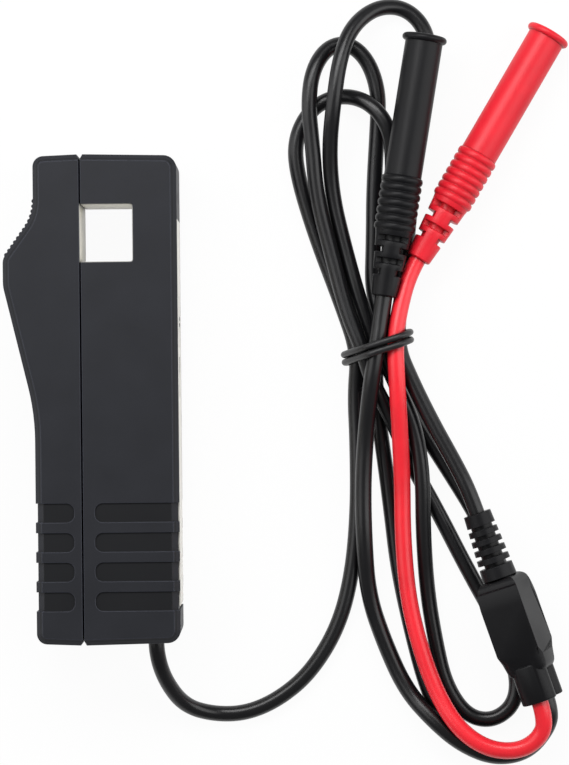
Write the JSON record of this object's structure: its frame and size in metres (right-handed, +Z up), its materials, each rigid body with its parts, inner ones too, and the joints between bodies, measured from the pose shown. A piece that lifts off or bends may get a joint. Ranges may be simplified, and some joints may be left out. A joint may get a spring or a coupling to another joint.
{
  "type": "clip-on current probe",
  "caption": "Clip-on current probe: flat split grip with a sprung sliding jaw beside a square window, tied cable, splitter, and red and black shrouded plugs.",
  "frame": {"origin": "under the middle of the grip, on the surface it lies on", "axes": "+X across the grip from the thumb ramp to the controls, +Y along the grip to the jaw end, +Z up"},
  "size_m": [0.1495, 0.2067, 0.032],
  "materials": {
    "housing": "fine matt texture",
    "black_plastic": "satin",
    "red_plastic": "satin",
    "black_cable": "matt",
    "red_cable": "satin",
    "core": "laminated",
    "steel": "plated",
    "brass": "plain",
    "board": "solder mask",
    "component": "moulded",
    "pale_plate": "satin",
    "lamp": "clear tinted",
    "control": "satin",
    "battery": "plain jacket"
  },
  "bodies": {
    "body": {"body_shell_upper": "housing", "body_shell_lower": "housing", "battery_cover": "housing", "core_upper": "core", "core_lower": "core", "hall_sensor": "component", "main_board": "board", "power_lamp": "lamp", "zero_pot": "component", "range_switch_case": "component", "face_plate": "pale_plate", "battery": "battery", "battery_snap": "component", "cover_screw": "steel", "body_screws": "steel", "return_spring": "steel", "cable_grommet": "black_cable", "splitter_box": "black_plastic", "splitter_boot": "black_plastic", "red_plug_grip": "red_plastic", "red_plug_shroud": "red_plastic", "red_plug_pin": "brass", "black_plug_grip": "black_plastic", "black_plug_shroud": "black_plastic", "black_plug_pin": "brass", "cable_tail": "black_cable", "cable_hank": "black_cable", "red_lead": "red_cable", "black_lead": "black_cable", "hank_tie": "black_cable"},
    "jaw": {"jaw_shell_upper": "housing", "jaw_shell_lower": "housing", "jaw_core": "core", "guide_rail": "black_plastic", "jaw_screws": "steel"},
    "switch_knob": {"range_switch_knob": "control"},
    "zero_wheel": {"zero_wheel": "control"}
  },
  "joints": [
    {"name": "jaw_slide", "type": "slide", "parent": "body", "child": "jaw", "axis": [0, -1, 0], "range_m": [0, 0.029], "stiffness_N_per_m": 120, "springref_m": -0.03, "deforming": ["return_spring"]},
    {"name": "range_switch", "type": "slide", "parent": "body", "child": "switch_knob", "axis": [0, -1, 0], "range_m": [0, 0.006]},
    {"name": "zero_wheel_turn", "type": "hinge", "parent": "body", "child": "zero_wheel", "pos_m": [0.01582, 0.0203, 0.016], "axis": [0, 0, 1], "range_deg": [-135, 135]}
  ]
}
